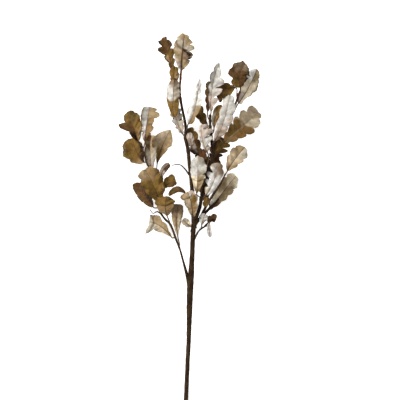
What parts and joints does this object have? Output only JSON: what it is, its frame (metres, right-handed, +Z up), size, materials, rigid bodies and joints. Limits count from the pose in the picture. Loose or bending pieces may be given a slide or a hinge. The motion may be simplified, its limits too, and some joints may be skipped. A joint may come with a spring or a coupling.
{
  "type": "oak leaf stem",
  "caption": "Dried oak branch lying flat: a slender woody stem that forks into loose sprays of lobed, curled brown and pale leaves.",
  "frame": {"origin": "centre of the bounding box on the surface that the branch lies on", "axes": "+Y from the cut end of the stem towards the leaf tips, +X to the right seen from above, +Z up"},
  "size_m": [0.344, 0.901, 0.1046],
  "materials": {
    "bark": "matt dry bark",
    "leaf_brown": "dry leaf, satin upper face",
    "leaf_tan": "dry leaf, matt bleached face",
    "leaf_pale": "dry leaf, downy pale underside"
  },
  "bodies": {
    "root": {"woody_stem": "bark", "left_leaf_01": "leaf_brown", "left_leaf_02": "leaf_tan", "left_leaf_03": "leaf_brown", "left_leaf_04": "leaf_tan", "left_leaf_05": "leaf_pale", "left_leaf_06": "leaf_brown", "left_leaf_07": "leaf_brown", "left_leaf_08": "leaf_brown", "left_leaf_09": "leaf_tan", "left_leaf_10": "leaf_tan", "left_leaf_11": "leaf_tan", "left_leaf_12": "leaf_tan", "stem_leaf_01": "leaf_tan", "stem_leaf_02": "leaf_brown", "top_leaf_01": "leaf_brown", "top_leaf_02": "leaf_tan", "top_leaf_03": "leaf_brown", "top_leaf_04": "leaf_pale", "top_leaf_05": "leaf_pale", "top_leaf_08": "leaf_brown", "top_leaf_06": "leaf_pale", "top_leaf_07": "leaf_pale", "middle_leaf_01": "leaf_brown", "middle_leaf_02": "leaf_brown", "middle_leaf_03": "leaf_pale", "middle_leaf_04": "leaf_pale", "middle_leaf_05": "leaf_pale", "middle_leaf_06": "leaf_tan", "middle_leaf_07": "leaf_brown", "middle_leaf_08": "leaf_brown", "middle_leaf_09": "leaf_brown", "middle_leaf_10": "leaf_brown", "middle_leaf_11": "leaf_brown", "middle_leaf_12": "leaf_brown", "right_leaf_01": "leaf_pale", "right_leaf_02": "leaf_brown", "right_leaf_03": "leaf_brown", "right_leaf_04": "leaf_pale", "right_leaf_05": "leaf_brown", "right_leaf_06": "leaf_brown", "right_leaf_07": "leaf_tan", "right_leaf_08": "leaf_brown", "right_leaf_09": "leaf_tan", "right_leaf_10": "leaf_tan", "cluster_leaf_01": "leaf_pale", "cluster_leaf_02": "leaf_pale", "cluster_leaf_03": "leaf_brown"}
  },
  "joints": []
}
